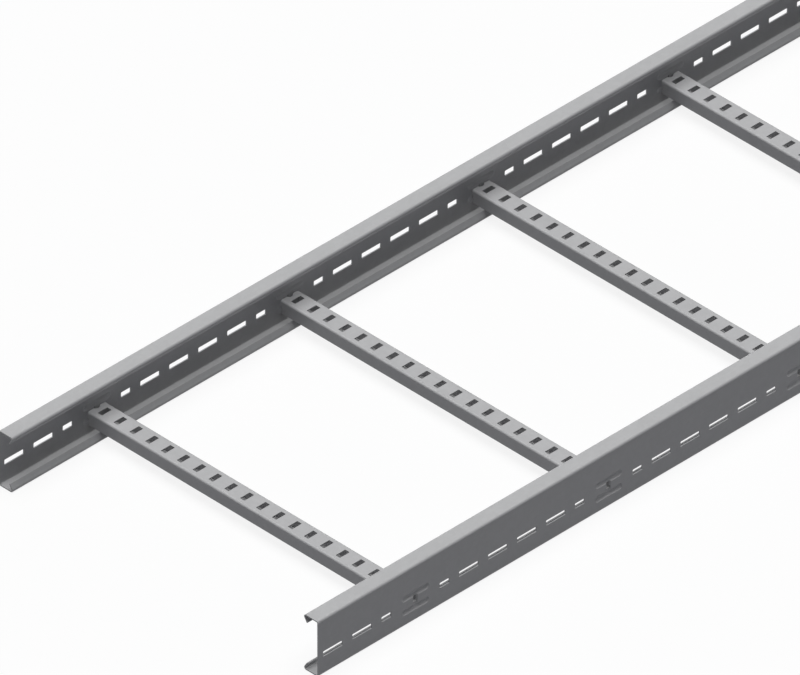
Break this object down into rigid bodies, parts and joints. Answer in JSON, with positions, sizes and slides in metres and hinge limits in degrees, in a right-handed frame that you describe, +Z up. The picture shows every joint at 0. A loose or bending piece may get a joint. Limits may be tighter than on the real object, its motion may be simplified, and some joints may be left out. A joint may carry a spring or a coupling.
{
  "type": "cable ladder section",
  "caption": "Straight cable ladder section: two lipped C side rails with slotted webs, joined by perforated C rungs that carry the cables.",
  "frame": {"origin": "middle of the footprint, on the plane on which the rails stand", "axes": "+X along the rails, +Y across the ladder from the left to the right rail, +Z up"},
  "size_m": [3, 0.503, 0.075],
  "materials": {
    "rail_steel": "galvanised sheet steel, satin grey",
    "rung_steel": "galvanised sheet steel, satin grey"
  },
  "bodies": {
    "root": {"side_rail_left": "rail_steel", "side_rail_right": "rail_steel", "rung_01": "rung_steel", "rung_02": "rung_steel", "rung_03": "rung_steel", "rung_04": "rung_steel", "rung_05": "rung_steel", "rung_06": "rung_steel", "rung_07": "rung_steel", "rung_08": "rung_steel", "rung_09": "rung_steel", "rung_10": "rung_steel"}
  },
  "joints": []
}
